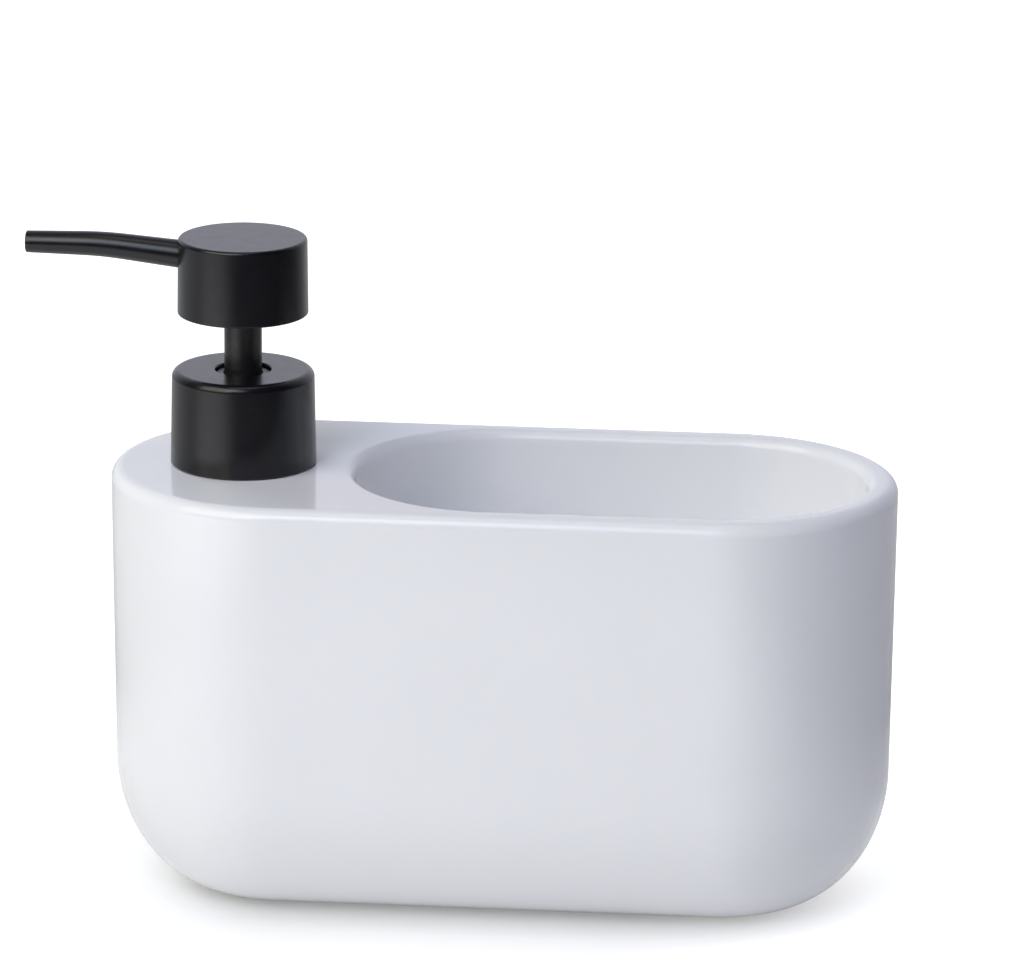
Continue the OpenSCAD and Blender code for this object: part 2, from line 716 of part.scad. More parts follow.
// A tube along the nozzle's line: its rings run out along the outside and back along the bore
module nozzle_tube(rings) {
    count = len(rings);
    points = [for (ring = rings)
        let (at = nozzle_at(ring[0]), turn = nozzle_turn(ring[0]))
        for (k = [0:nozzle_sides - 1])
            let (b = 360*k/nozzle_sides)
            [at[0] - ring[1]*cos(b)*sin(turn), ring[1]*sin(b), at[1] + ring[1]*cos(b)*cos(turn)]];
    faces = [for (i = [0:count - 1]) for (k = [0:nozzle_sides - 1])
        let (next = (i + 1)%count, far = (k + 1)%nozzle_sides,
             a = i*nozzle_sides + k, b = i*nozzle_sides + far,
             c = next*nozzle_sides + k, d = next*nozzle_sides + far)
        for (f = [[a, b, c], [b, d, c]]) f];
    translate([pump_x, 0, 0]) rotate([0, 0, 180]) polyhedron(points, faces);
}

// Rings of a bore, from the tip back to the inner end
function bore_rings(r, s0, s1) =
    let (s = stations(s0, s1)) [for (i = [len(s) - 1:-1:0]) [s[i], r]];

module nozzle() {
    tip_s = nozzle_l - bevel;
    color("#232427")
    nozzle_tube(concat(
        [for (s = stations(-nozzle_inside, tip_s)) [s, nozzle_r(s)]],
        [for (a = [30, 60, 90])
            [tip_s + bevel*sin(a), nozzle_r(tip_s) - bevel + bevel*cos(a)]],
        bore_rings(nozzle_bore_d/2, -nozzle_inside, nozzle_l)));
}

// Plastic tube inside the metal nozzle, a little short of its tip
module nozzle_liner() {
    outer_r = nozzle_bore_d/2 - snug;
    liner_end = nozzle_l - bevel;
    color("whitesmoke")
    nozzle_tube(concat(
        [for (s = stations(-nozzle_inside, liner_end)) [s, outer_r]],
        bore_rings(outer_r - liner_wall, -nozzle_inside, liner_end)));
}

caddy_body();
neck_insert();
neck_seal();
collar_cover();
collar_nut();
housing_gasket();
pump_housing();
stem_guide();
dip_tube();
ball_cage();
inlet_ball();
return_spring();
piston_seal();
piston_rod();
stem();
outlet_ball();
actuator_core();
head_cover();
nozzle();
nozzle_liner();
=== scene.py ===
# Soap pump caddy: its glaze, black shells, threads and studio, built round the fixed frame
import json
import math

import bmesh
import bpy
from mathutils import Matrix, Vector
from mathutils.geometry import delaunay_2d_cdt

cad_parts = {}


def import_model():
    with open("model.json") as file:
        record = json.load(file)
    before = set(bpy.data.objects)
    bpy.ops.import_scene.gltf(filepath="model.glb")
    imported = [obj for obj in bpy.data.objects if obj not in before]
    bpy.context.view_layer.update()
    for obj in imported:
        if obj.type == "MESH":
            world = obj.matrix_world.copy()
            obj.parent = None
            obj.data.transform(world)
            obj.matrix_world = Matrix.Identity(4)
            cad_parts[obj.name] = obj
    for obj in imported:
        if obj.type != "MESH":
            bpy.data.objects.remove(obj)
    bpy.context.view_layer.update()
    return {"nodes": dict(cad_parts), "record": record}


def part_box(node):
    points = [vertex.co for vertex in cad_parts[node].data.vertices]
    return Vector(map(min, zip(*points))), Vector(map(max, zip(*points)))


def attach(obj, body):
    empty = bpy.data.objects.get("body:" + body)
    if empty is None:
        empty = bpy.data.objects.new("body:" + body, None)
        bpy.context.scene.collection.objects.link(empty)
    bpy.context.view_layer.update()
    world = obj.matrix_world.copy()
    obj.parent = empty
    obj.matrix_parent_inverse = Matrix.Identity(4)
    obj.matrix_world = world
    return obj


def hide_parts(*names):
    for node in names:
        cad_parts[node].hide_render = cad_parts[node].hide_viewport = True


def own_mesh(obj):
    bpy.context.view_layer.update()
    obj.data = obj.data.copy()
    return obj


MM = 0.001

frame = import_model()

# Places of the ceramic body and the pump, read from the frame
body_low, body_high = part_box("caddy_body")
stem_low, stem_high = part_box("stem")
pump_x = (stem_low.x + stem_high.x)/2
body_top = body_high.z
body_r = (body_high.y - body_low.y)/2
end_x = body_high.x - body_r

# Ceramic body: outside, walls and foot
body_draft = math.radians(0.58)
rim_round = 3*MM
base_round = Vector((25*MM, 31.5*MM))
body_wall = 6*MM
top_wall = 6*MM
foot_r = body_r - (body_top - base_round.y)*math.tan(body_draft) - base_round.x
foot_ring = 4.5*MM
foot_recess = 1*MM
foot_edge = 0.5*MM

# Pocket, with the centres of its round ends
pocket_rim = 7*MM
pocket_lip = 2.5*MM
pocket_depth = 45*MM
pocket_draft = math.radians(1)
pocket_round = 8*MM
pump_to_pocket = 25.9*MM
pocket_r = body_r - pocket_rim
pocket_x0 = pump_x + pump_to_pocket + pocket_r
pocket_x1 = body_high.x - pocket_rim - pocket_r

# Soap chamber and neck hole
chamber_round = 5*MM
chamber_corner = 4*MM
neck_hole_r = 13.2*MM
neck_edge = 0.6*MM

# Screw neck and closure, with the thread of a common 28 mm pump
thread_pitch = 4.23*MM
thread_turns = 1.5
thread_foot = 1.7*MM
thread_crest = 0.8*MM
thread_fade_share = 0.12
thread_sink = 0.1*MM
neck_root_r = 12.6*MM
neck_crest_r = 13.7*MM
nut_root_r = 14.5*MM
nut_crest_r = 13.78*MM

# Sheet of the black shells
shell_wall = 0.9*MM
shell_top = 1.2*MM
shell_edge = 0.1*MM

# Nozzle: a straight root, one bend to level and a straight tip
nozzle_wall_r = 14.7*MM
nozzle_axis_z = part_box("head_cover")[1].z - 4.3*MM
nozzle_rise = math.radians(6)
nozzle_straight = 12.5*MM
nozzle_bend_r = 92*MM
nozzle_bend_l = nozzle_bend_r*nozzle_rise
nozzle_root_r = 3.2*MM
nozzle_tip_r = 2.5*MM
nozzle_bore_r = 1.95*MM
nozzle_gap = 0.08*MM
nozzle_tip_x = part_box("nozzle")[0].x
bend_end = (nozzle_wall_r + nozzle_straight*math.cos(nozzle_rise)
            + nozzle_bend_r*math.sin(nozzle_rise))
nozzle_l = nozzle_straight + nozzle_bend_l + (pump_x - nozzle_tip_x) - bend_end

# Fineness of the meshes
lathe_steps = 160
end_steps = 64
straight_steps = 24
floor_steps = 28
edge_steps = 10
thread_steps = 72
# Spacing of the points over the flat top
fill_step = 4*MM
# Points closer than this are one point
merge_gap = 0.001*MM
# How far a cutter runs past the face that it opens
overrun = 1*MM
# Edges that turn more than this stay sharp
sharp_angle = math.radians(32)


# Mesh tools

def add_object(name, data):
    made = bpy.data.objects.new(name, data)
    bpy.context.scene.collection.objects.link(made)
    return made


def make_piece(name, verts, faces):
    mesh = bpy.data.meshes.new(name)
    mesh.from_pydata([tuple(v) for v in verts], [], faces)
    piece = add_object(name, mesh)
    tidy_mesh(piece)
    return piece


def merge_points(work):
    bmesh.ops.remove_doubles(work, verts=work.verts, dist=merge_gap)
    bmesh.ops.dissolve_degenerate(work, edges=work.edges, dist=merge_gap)


def tidy_mesh(piece):
    """Merges doubled points and turns every face outwards"""
    work = bmesh.new()
    work.from_mesh(piece.data)
    merge_points(work)
    bmesh.ops.recalc_face_normals(work, faces=work.faces)
    if work.calc_volume(signed=True) < 0:
        bmesh.ops.reverse_faces(work, faces=work.faces)
    work.to_mesh(piece.data)
    work.free()


def apply_modifiers(piece):
    graph = bpy.context.evaluated_depsgraph_get()
    made = bpy.data.meshes.new_from_object(piece.evaluated_get(graph))
    piece.modifiers.clear()
    piece.data = made


def combine(piece, others, operation):
    """Cuts other solids out of a piece, or joins them to it, and deletes them"""
    for other in others:
        step = piece.modifiers.new(other.name, "BOOLEAN")
        step.operation = operation
        step.solver = "EXACT"
        step.object = other
    apply_modifiers(piece)
    tidy_mesh(piece)
    for other in others:
        bpy.data.objects.remove(other)
    return piece


def smooth(piece):
    """Smooth shading between the sharp edges, led by the large faces"""
    piece.data.shade_smooth()
    piece.data.set_sharp_from_angle(angle=sharp_angle)
    weigh = piece.modifiers.new("weighted normals", "WEIGHTED_NORMAL")
    weigh.keep_sharp = True
    apply_modifiers(piece)
    return piece


def rounded(corners):
    """An outline whose corners (across, up, radius) become true arcs"""
    points = []
    for i, (across, up, radius) in enumerate(corners):
        here = Vector((across, up))
        if radius == 0:
            points.append(here)
            continue
        back = (Vector(corners[i - 1][:2]) - here).normalized()
        ahead = (Vector(corners[(i + 1) % len(corners)][:2]) - here).normalized()
        half = back.angle(ahead)/2
        reach = radius/math.tan(half)
        for k in range(edge_steps + 1):
            u = k/edge_steps
            shares = Vector(((1 - u)**2, 2*u*(1 - u)*math.sin(half), u**2))
            blend = (shares[0]*(here + back*reach) + shares[1]*here
                     + shares[2]*(here + ahead*reach))
            points.append(blend/sum(shares))
    return points


def arc(centre, radii, start, end, steps):
    """Points on an arc, with a radius across and a radius up"""
    angles = [math.radians(start + (end - start)*k/steps) for k in range(steps + 1)]
    return [Vector(centre) + Vector((radii[0]*math.cos(a), radii[1]*math.sin(a)))
            for a in angles]


def round_edge(across, up, radius, start, end):
    """The round of an edge about a centre"""
    return arc((across, up), (radius, radius), start, end, edge_steps)


def between_rings(rings, count, closed):
    """Faces between rings of points that follow each other"""
    pairs = [(i, (i + 1) % rings) for i in range(rings if closed else rings - 1)]
    return [(i*count + k, i*count + (k + 1) % count, j*count + (k + 1) % count, j*count + k)
            for i, j in pairs for k in range(count)]


def end_caps(rings, count):
    """Faces that close the first and the last ring"""
    last = (rings - 1)*count
    return [tuple(range(count))[::-1], tuple(last + k for k in range(count))]


def turned_mesh(outline, closed):
    """Points and faces turned about the pump's axis from an outline (radius, height)"""
    angles = [2*math.pi*k/lathe_steps for k in range(lathe_steps)]
    verts = [(pump_x + point[0]*math.cos(a), point[0]*math.sin(a), point[1])
             for point in outline for a in angles]
    return verts, between_rings(len(outline), lathe_steps, closed)


def turned(name, outline):
    return make_piece(name, *turned_mesh(outline, closed=True))


def oblong_mesh(half, x0, x1):
    """Points and faces with half-round ends at x0 and x1, from the half outline of a section"""
    stations = []
    for near, far, start in ((x1, x0, -90), (x0, x1, 90)):
        stations += [(near, math.radians(start + 180*k/end_steps)) for k in range(end_steps + 1)]
        stations += [(near + (far - near)*k/straight_steps, math.radians(start + 180))
                     for k in range(1, straight_steps)]
    verts = [(centre + point[0]*math.cos(a), point[0]*math.sin(a), point[1])
             for point in half for centre, a in stations]
    return verts, between_rings(len(half), len(stations), closed=False)


def oblong(name, half, x0, x1):
    return make_piece(name, *oblong_mesh(half, x0, x1))


def ring_points(rings, sides):
    """Points of rings that are each given as centre, across, up and radius"""
    angles = [2*math.pi*k/sides for k in range(sides)]
    return [centre + radius*(math.cos(a)*across + math.sin(a)*up)
            for centre, across, up, radius in rings for a in angles]


def tube_along(name, rings, sides):
    """A tube from rings that run out outside and back inside"""
    return make_piece(name, ring_points(rings, sides),
                      between_rings(len(rings), sides, closed=True))


def block(name, low, high):
    verts = [(x, y, z) for x in (low[0], high[0]) for y in (low[1], high[1])
             for z in (low[2], high[2])]
    faces = [(0, 1, 3, 2), (4, 6, 7, 5), (0, 4, 5, 1), (2, 3, 7, 6), (0, 2, 6, 4), (1, 5, 7, 3)]
    return make_piece(name, verts, faces)


# Ceramic body, from half outlines (distance from the middle line, height)

def outer_outline():
    """Foot ring round its recess, the large round of the base, the side and the rim"""
    rim_r = body_r - rim_round*math.tan(body_draft)
    recess = rounded([(foot_r - foot_ring, foot_recess, 0), (foot_r - foot_ring, 0, foot_edge),
                      (foot_r, 0, 0)])
    return ([Vector((0, foot_recess))] + recess[:-1]
            + arc((foot_r, base_round.y), base_round, -90, 0, floor_steps)
            + round_edge(rim_r - rim_round, body_top - rim_round, rim_round, 0, 90))


def chamber_outline():
    """The chamber's floor, side and ceiling, before the pocket takes its share"""
    ceiling = body_top - top_wall
    side_r = body_r - top_wall*math.tan(body_draft) - body_wall
    inner = base_round - Vector((body_wall, body_wall))
    return ([Vector((0, body_wall))]
            + arc((foot_r, base_round.y), inner, -90, 0, floor_steps)
            + round_edge(side_r - chamber_round, ceiling - chamber_round, chamber_round, 0, 90)
            + [Vector((0, ceiling))])


def pocket_base(grow):
    """The pocket's floor and the round above it, grown outwards by a wall"""
    floor_z = body_top - pocket_depth
    drop = pocket_depth - pocket_round
    centre_r = pocket_r - drop*math.tan(pocket_draft) - pocket_round
    return [Vector((0, floor_z - grow))] + round_edge(centre_r, floor_z + pocket_round,
                                                      pocket_round + grow, -90, 0)


def pocket_outline():
    """The pocket's inside, up to the soft lip at the top"""
    return pocket_base(0) + round_edge(pocket_r + pocket_lip, body_top - pocket_lip,
                                       pocket_lip, 180, 90)


def divider_outline():
    """The pocket with its wall, which the chamber leaves room for"""
    above = body_top + overrun
    return pocket_base(body_wall) + [Vector((pocket_r + body_wall, above)), Vector((0, above))]


def neck_outline():
    """The neck hole, run on down into the chamber"""
    below = body_top - top_wall - overrun
    return [Vector((0, below)), Vector((neck_hole_r, below)),
            Vector((neck_hole_r, body_top - neck_edge)),
            *round_edge(neck_hole_r + neck_edge, body_top - neck_edge, neck_edge, 180, 90)]


def soap_chamber():
    """The hollow round the pump and under the pocket"""
    chamber = oblong("chamber", chamber_outline(), -end_x, end_x)
    divider = oblong("divider", divider_outline(), pocket_x0, pocket_x1)
    beyond = block("beyond", (pump_x + pump_to_pocket + chamber_corner, -2*body_r,
                              body_top - pocket_depth), (2*body_high.x, 2*body_r, 2*body_top))
    return combine(chamber, [divider, beyond], "DIFFERENCE")


def over_opening(spot):
    """Whether a spot of the top lies over the pocket or the neck hole"""
    along = min(max(spot.x, pocket_x0), pocket_x1)
    return ((spot - Vector((along, 0))).length < pocket_r + pocket_lip
            or (spot - Vector((pump_x, 0))).length < neck_hole_r + neck_edge)


def fill_top(work):
    """Even triangles over the flat top, between its three open rims"""
    rims = [edge for edge in work.edges if edge.is_boundary and edge.verts[0].co.z > pocket_lip]
    points = sorted({point for edge in rims for point in edge.verts},
                    key=lambda point: point.index)
    place = {point: i for i, point in enumerate(points)}
    rim_spots = [point.co.xy for point in points]
    lines = [(place[edge.verts[0]], place[edge.verts[1]]) for edge in rims]
    across = int((end_x + body_r)/fill_step)
    deep = int(body_r/fill_step)
    spots = list(rim_spots)
    for i in range(-across, across + 1):
        for j in range(-deep, deep + 1):
            spot = Vector((i*fill_step, j*fill_step))
            if (min((spot - other).length for other in rim_spots) > fill_step/2
                    and not over_opening(spot)):
                spots.append(spot)
    inside_only = 1
    flat, _, cells, origins, _, _ = delaunay_2d_cdt(spots, lines, [], inside_only, merge_gap)
    found = {}
    for cell in cells:
        if over_opening(sum((flat[k] for k in cell), Vector((0, 0)))/len(cell)):
            continue
        for k in cell:
            if k not in found:
                origin = origins[k][0] if origins[k] else len(points)
                found[k] = (points[origin] if origin < len(points)
                            else work.verts.new((flat[k].x, flat[k].y, body_top)))
        work.faces.new([found[k] for k in cell])


def ceramic_body():
    """One casting: pocket, soap chamber with a rounded divider, neck hole and bare foot ring"""
    work = bmesh.new()
    for verts, faces in (oblong_mesh(outer_outline(), -end_x, end_x),
                         oblong_mesh(pocket_outline(), pocket_x0, pocket_x1),
                         turned_mesh(neck_outline(), closed=False)):
        made = [work.verts.new(place) for place in verts]
        for face in faces:
            work.faces.new([made[k] for k in face])
    merge_points(work)
    work.verts.index_update()
    fill_top(work)
    bmesh.ops.recalc_face_normals(work, faces=work.faces)
    mesh = bpy.data.meshes.new("glazed_body")
    work.to_mesh(mesh)
    work.free()
    body = combine(add_object("glazed_body", mesh), [soap_chamber()], "DIFFERENCE")
    smooth(body)
    dress(body, "glaze", "caddy", "caddy_body")
    bare_foot(body)


def bare_foot(body):
    """The ring that the body stands on is wiped free of glaze"""
    facing_down = -0.9
    body.data.materials.append(FINISHES["bare_clay"])
    for face in body.data.polygons:
        if face.center.z < foot_edge and face.normal.z < facing_down:
            face.material_index = 1


# Screw neck and closure

def thread_ridge(name, root_r, crest_r, start_z):
    """A helical ridge that rises from a root radius to a crest, fading in and out"""
    steps = int(thread_steps*thread_turns)
    sink = math.copysign(thread_sink, crest_r - root_r)
    section = [(-thread_foot/2, 0), (-thread_crest/2, 1), (thread_crest/2, 1), (thread_foot/2, 0)]
    verts = []
    for i in range(steps + 1):
        share = i/steps
        fade = min(1, share/thread_fade_share, (1 - share)/thread_fade_share)
        a = 2*math.pi*thread_turns*share
        for rise, lift in section:
            r = root_r - sink + lift*fade*(crest_r - root_r + sink)
            z = start_z + thread_pitch*thread_turns*share + rise
            verts.append((pump_x + r*math.cos(a), r*math.sin(a), z))
    faces = between_rings(steps + 1, len(section), closed=False)
    return smooth(make_piece(name, verts, faces + end_caps(steps + 1, len(section))))


def neck_ring():
    """The bonded insert: flange, spigot and outside thread"""
    low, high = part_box("neck_insert")
    bore_r = 10.7*MM
    spigot_r = 12.1*MM
    flange_r = (high.x - low.x)/2
    flange_t = 1.4*MM
    flange_top = body_top + flange_t
    edge = 0.4*MM
    ring = turned("neck_ring", rounded([
        (bore_r, low.z, edge/2), (spigot_r, low.z, edge), (spigot_r, body_top, 0),
        (flange_r, body_top, edge/4), (flange_r, flange_top, edge),
        (neck_root_r, flange_top, edge), (neck_root_r, high.z, edge), (bore_r, high.z, edge)]))
    smooth(ring)
    dress(ring, "natural_plastic", "caddy", "neck_insert")
    thread = thread_ridge("neck_thread", neck_root_r, neck_crest_r, flange_top + thread_foot)
    dress(thread, "natural_plastic", "caddy")


def threaded_nut():
    """The closure under the collar's shell, with its web, hub, ribs and inside thread"""
    low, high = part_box("collar_nut")
    base_r = (high.x - low.x)/2
    taper = 0.4*MM
    top_r = base_r - taper
    rim_t = 2.6*MM
    rim_r = top_r - rim_t
    shoulder = 1.6*MM
    hub_r = 6.45*MM
    hub_t = 1.2*MM
    web_t = 1.6*MM
    guide_above_web = 6.55*MM
    web_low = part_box("stem_guide")[1].z - guide_above_web
    web_high = web_low + web_t
    edge = 0.4*MM
    nut = turned("threaded_nut", rounded([
        (nut_root_r, low.z, edge/2), (base_r, low.z, edge), (top_r, high.z, shoulder),
        (rim_r, high.z, edge/2), (rim_r, web_high, edge), (hub_r + hub_t, web_high, edge),
        (hub_r + hub_t, high.z, edge/2), (hub_r, high.z, edge/2), (hub_r, web_low, edge),
        (nut_root_r, web_low, edge)]))
    rib_count = 8
    rib_t = 1*MM
    ribs = []
    for i in range(rib_count):
        rib = block(f"nut_rib_{i}", (hub_r + hub_t/2, -rib_t/2, web_high - edge),
                    (rim_r + edge, rib_t/2, high.z - edge/2))
        rib.data.transform(Matrix.Translation((pump_x, 0, 0))
                           @ Matrix.Rotation(2*math.pi*i/rib_count, 4, "Z"))
        ribs.append(rib)
    smooth(combine(nut, ribs, "UNION"))
    dress(nut, "black_plastic", "collar", "collar_nut")
    thread = thread_ridge("collar_thread", nut_root_r, nut_crest_r, low.z + thread_foot)
    dress(thread, "black_plastic", "collar")


# Black shells

def collar_shell():
    """The collar's cover: a drafted skirt, a soft shoulder and the hole for the stem"""
    low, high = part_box("collar_cover")
    base_r = (high.x - low.x)/2
    base_edge = 0.2*MM
    top_r = 16.25*MM
    shoulder = 1.8*MM
    hole_r = 6.4*MM
    hole_edge = 0.4*MM
    collar = turned("collar_shell", rounded([
        (base_r - shell_wall, low.z, shell_edge), (base_r, low.z, base_edge),
        (top_r, high.z, shoulder), (hole_r, high.z, hole_edge),
        (hole_r, high.z - shell_top, shell_edge),
        (top_r - shell_wall, high.z - shell_top, shoulder - shell_wall)]))
    smooth(collar)
    dress(collar, "black_coat", "collar", "collar_cover")


def head_shell():
    """The head's cover, with a crisp top edge and the hole that the nozzle leaves by"""
    low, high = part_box("head_cover")
    base_r = (high.x - low.x)/2
    base_edge = 0.35*MM
    top_r = 14.7*MM
    top_edge = 0.8*MM
    inner_edge = 0.4*MM
    head = turned("head_shell", rounded([
        (0, high.z - shell_top, 0), (top_r - shell_wall, high.z - shell_top, inner_edge),
        (base_r - shell_wall, low.z, shell_edge), (base_r, low.z, base_edge),
        (top_r, high.z, top_edge), (0, high.z, 0)]))
    root, out = spout_at(0)
    side = Vector((0, 1, 0))
    hole_r = nozzle_root_r + nozzle_gap
    near = root - out*base_r/2
    far = root + out*base_r/2
    rings = [(centre, side, out.cross(side), radius)
             for centre, radius in ((near, 0), (near, hole_r), (far, hole_r), (far, 0))]
    combine(head, [tube_along("nozzle_hole", rings, sides=48)], "DIFFERENCE")
    smooth(head)
    dress(head, "black_coat", "head", "head_cover")


def spout_at(s):
    """Point and direction of the nozzle's line, s beyond the head's wall"""
    along = min(max(s - nozzle_straight, 0), nozzle_bend_l)
    turn = nozzle_rise - along/nozzle_bend_r
    straight = min(s, nozzle_straight)
    level = max(0, s - nozzle_straight - nozzle_bend_l)
    reach = (nozzle_wall_r + straight*math.cos(nozzle_rise) + level
             + nozzle_bend_r*(math.sin(nozzle_rise) - math.sin(turn)))
    height = (nozzle_axis_z + straight*math.sin(nozzle_rise)
              + nozzle_bend_r*(math.cos(turn) - math.cos(nozzle_rise)))
    return Vector((pump_x - reach, 0, height)), Vector((-math.cos(turn), 0, math.sin(turn)))


def nozzle():
    """The metal tube, with a softly rounded tip and its bore open"""
    inner_end = -7*MM
    lip = 0.35*MM
    lip_steps = 5
    steps = 48
    side = Vector((0, 1, 0))
    stops = [inner_end + (nozzle_l - lip - inner_end)*k/steps for k in range(steps + 1)]
    outside = [(s, nozzle_root_r + (nozzle_tip_r - nozzle_root_r)*max(0, s)/nozzle_l)
               for s in stops]
    tip_r = outside[-1][1]
    angles = [math.radians(90*k/lip_steps) for k in range(1, lip_steps + 1)]
    tip = [(nozzle_l - lip + lip*math.sin(a), tip_r - lip + lip*math.cos(a)) for a in angles]
    inside = [(nozzle_l, nozzle_bore_r + lip/3), (nozzle_l - lip/3, nozzle_bore_r)]
    inside += [(s, nozzle_bore_r) for s in reversed(stops)]
    rings = []
    for s, r in outside + tip + inside:
        centre, out = spout_at(s)
        rings.append((centre, side, out.cross(side), r))
    tube = smooth(tube_along("spout", rings, sides=64))
    dress(tube, "black_coat", "head", "nozzle")


# Return spring

def return_spring():
    """Round wire wound in one line, with a flat turn at each end"""
    low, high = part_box("return_spring")
    wire_r = 0.5*MM
    mean_r = 5.3*MM
    turns = 8
    flat_share = 1/3
    steps = 48
    sides = 14
    height = high.z - low.z - 2*wire_r
    rings = []
    for i in range(turns*steps + 1):
        turn = i/steps
        climb = min(1, max(0, (turn - flat_share)/(turns - 2*flat_share)))
        a = 2*math.pi*turn
        out = Vector((math.cos(a), math.sin(a), 0))
        centre = Vector((pump_x, 0, low.z + wire_r + height*climb)) + mean_r*out
        rings.append((centre, out, Vector((0, 0, 1)), wire_r))
    faces = between_rings(len(rings), sides, closed=False) + end_caps(len(rings), sides)
    spring = smooth(make_piece("wound_spring", ring_points(rings, sides), faces))
    dress(spring, "spring_steel", "pump_body", "return_spring")
    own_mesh(spring)


# Node tools

def set_inputs(node, values):
    """Gives each input a value, or links it to the output of another node"""
    for socket, value in values.items():
        if isinstance(value, bpy.types.NodeSocket):
            node.id_data.links.new(value, node.inputs[socket])
        else:
            node.inputs[socket].default_value = value


def add_node(tree, kind, values=(), **settings):
    made = tree.nodes.new(kind)
    for name, value in settings.items():
        setattr(made, name, value)
    set_inputs(made, dict(values))
    return made


def calculate(tree, operation, *values):
    """A Math node over two or three values, each a number or the output of a node"""
    return add_node(tree, "ShaderNodeMath", enumerate(values),
                    operation=operation).outputs["Value"]


def ramp(tree, value, start, end, low=0.0, high=1.0, ease=False):
    """From low to high as a value goes from start to end, straight or eased at both ends"""
    return add_node(tree, "ShaderNodeMapRange",
                    {"Value": value, "From Min": start, "From Max": end,
                     "To Min": low, "To Max": high},
                    interpolation_type="SMOOTHSTEP" if ease else "LINEAR").outputs["Result"]


def new_group(name, inputs, outputs):
    tree = bpy.data.node_groups.new(name, "ShaderNodeTree")
    for label, kind, value in inputs:
        socket = tree.interface.new_socket(label, in_out="INPUT", socket_type=kind)
        socket.default_value = value
    for label, kind in outputs:
        tree.interface.new_socket(label, in_out="OUTPUT", socket_type=kind)
    return tree, tree.nodes.new("NodeGroupInput"), tree.nodes.new("NodeGroupOutput")


def rgb(red, green, blue):
    return red, green, blue, 1.0


# Node groups: effects that the finishes share

def noise_at(tree, size, detail):
    """Noise whose waves have a given size in metres"""
    place = add_node(tree, "ShaderNodeTexCoord").outputs["Object"]
    scale = calculate(tree, "DIVIDE", 1.0, size)
    return add_node(tree, "ShaderNodeTexNoise", {"Vector": place, "Scale": scale, "Detail": detail,
                                                 "Roughness": 0.5}).outputs["Fac"]


def clouded_colour():
    """Soft clouds of a second shade over a colour"""
    tree, enter, leave = new_group(
        "Clouded colour",
        [("Colour", "NodeSocketColor", rgb(0.8, 0.8, 0.8)),
         ("Shade", "NodeSocketColor", rgb(0.7, 0.7, 0.7)),
         ("Amount", "NodeSocketFloat", 0.5), ("Size", "NodeSocketFloat", 0.02)],
        [("Colour", "NodeSocketColor")])
    clouds = ramp(tree, noise_at(tree, enter.outputs["Size"], 3.0), 0.35, 0.65)
    share = calculate(tree, "MULTIPLY", clouds, enter.outputs["Amount"])
    mix = add_node(tree, "ShaderNodeMix", {"Factor": share, "A": enter.outputs["Colour"],
                                           "B": enter.outputs["Shade"]}, data_type="RGBA")
    set_inputs(leave, {"Colour": mix.outputs["Result"]})
    return tree


def uneven_gloss():
    """Roughness that drifts about a value"""
    tree, enter, leave = new_group(
        "Uneven gloss",
        [("Roughness", "NodeSocketFloat", 0.3), ("Spread", "NodeSocketFloat", 0.05),
         ("Size", "NodeSocketFloat", 0.01)],
        [("Roughness", "NodeSocketFloat")])
    drift = ramp(tree, noise_at(tree, enter.outputs["Size"], 4.0), 0.3, 0.7, -1.0, 1.0)
    drifted = calculate(tree, "MULTIPLY_ADD", drift, enter.outputs["Spread"],
                        enter.outputs["Roughness"])
    set_inputs(leave, {"Roughness": drifted})
    return tree


def rippled_surface():
    """Height in metres of long ripples and a fine grain on them"""
    tree, enter, leave = new_group(
        "Rippled surface",
        [("Ripple Size", "NodeSocketFloat", 0.01), ("Ripple Height", "NodeSocketFloat", 1e-5),
         ("Grain Size", "NodeSocketFloat", 0.0005), ("Grain Height", "NodeSocketFloat", 1e-6)],
        [("Height", "NodeSocketFloat")])
    heights = []
    for form, detail in (("Ripple", 1.0), ("Grain", 2.0)):
        waves = noise_at(tree, enter.outputs[f"{form} Size"], detail)
        heights.append(calculate(tree, "MULTIPLY", waves, enter.outputs[f"{form} Height"]))
    set_inputs(leave, {"Height": calculate(tree, "ADD", *heights)})
    return tree


GROUPS = {"colour": clouded_colour(), "gloss": uneven_gloss(), "surface": rippled_surface()}


# Finishes

def finish_with(name, colour, gloss, surface, shader):
    """A material whose colour, gloss and surface come from the shared effects"""
    material = bpy.data.materials.new(name)
    material.use_nodes = True
    tree = material.node_tree
    clouds = add_node(tree, "ShaderNodeGroup", colour, node_tree=GROUPS["colour"])
    drift = add_node(tree, "ShaderNodeGroup", gloss, node_tree=GROUPS["gloss"])
    relief = add_node(tree, "ShaderNodeGroup", surface, node_tree=GROUPS["surface"])
    bump = add_node(tree, "ShaderNodeBump", {"Strength": 1.0, "Distance": 1.0,
                                             "Height": relief.outputs["Height"]})
    set_inputs(tree.nodes["Principled BSDF"],
               {**shader, "Base Color": clouds.outputs["Colour"],
                "Roughness": drift.outputs["Roughness"], "Normal": bump.outputs["Normal"]})
    return material


def glaze():
    """Thick glossy white glaze with faint ripples where it ran and settled"""
    return finish_with(
        "white glaze",
        {"Colour": rgb(0.9, 0.904, 0.92), "Shade": rgb(0.878, 0.884, 0.902),
         "Amount": 0.5, "Size": 0.03},
        {"Roughness": 0.1, "Spread": 0.03, "Size": 0.012},
        {"Ripple Size": 0.012, "Ripple Height": 1.2e-5, "Grain Size": 0.0016, "Grain Height": 6e-7},
        {"IOR": 1.5})


